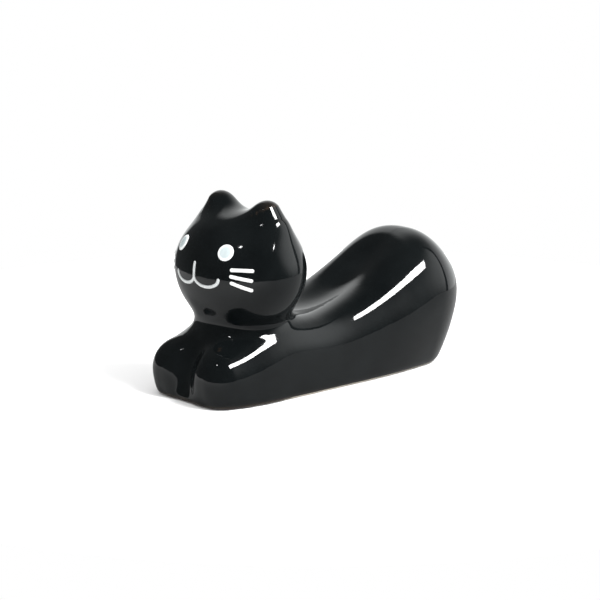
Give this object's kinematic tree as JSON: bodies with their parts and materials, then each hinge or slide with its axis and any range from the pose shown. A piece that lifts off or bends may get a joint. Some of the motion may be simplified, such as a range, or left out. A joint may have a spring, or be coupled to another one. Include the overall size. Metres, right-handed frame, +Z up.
{
  "type": "cat-shaped chopstick rest",
  "caption": "Glazed ceramic chopstick rest in the shape of a stretching cat: head up in front, low saddle behind it for the chopsticks, rump raised, flat unglazed base.",
  "frame": {"origin": "centre of the bounding box at the height of the standing surface", "axes": "+Z up; the cat looks along -Y, so +Y runs from head to rump; +X is the cat's left side"},
  "size_m": [0.0256, 0.0597, 0.0334],
  "materials": {
    "black_glaze": "glossy black glaze, mirror-like",
    "bare_clay": "matt unglazed stoneware",
    "white_enamel": "satin overglaze enamel",
    "eye_enamel": "satin overglaze enamel, greyish in the middle with a whiter rim"
  },
  "bodies": {
    "root": {"torso": "black_glaze", "head": "black_glaze", "neck_seam": "black_glaze", "foot": "bare_clay", "mouth": "white_enamel", "eye_left": "eye_enamel", "eye_right": "eye_enamel", "whisker_left_1": "white_enamel", "whisker_left_2": "white_enamel", "whisker_left_3": "white_enamel", "whisker_right_1": "white_enamel", "whisker_right_2": "white_enamel", "whisker_right_3": "white_enamel"}
  },
  "joints": []
}
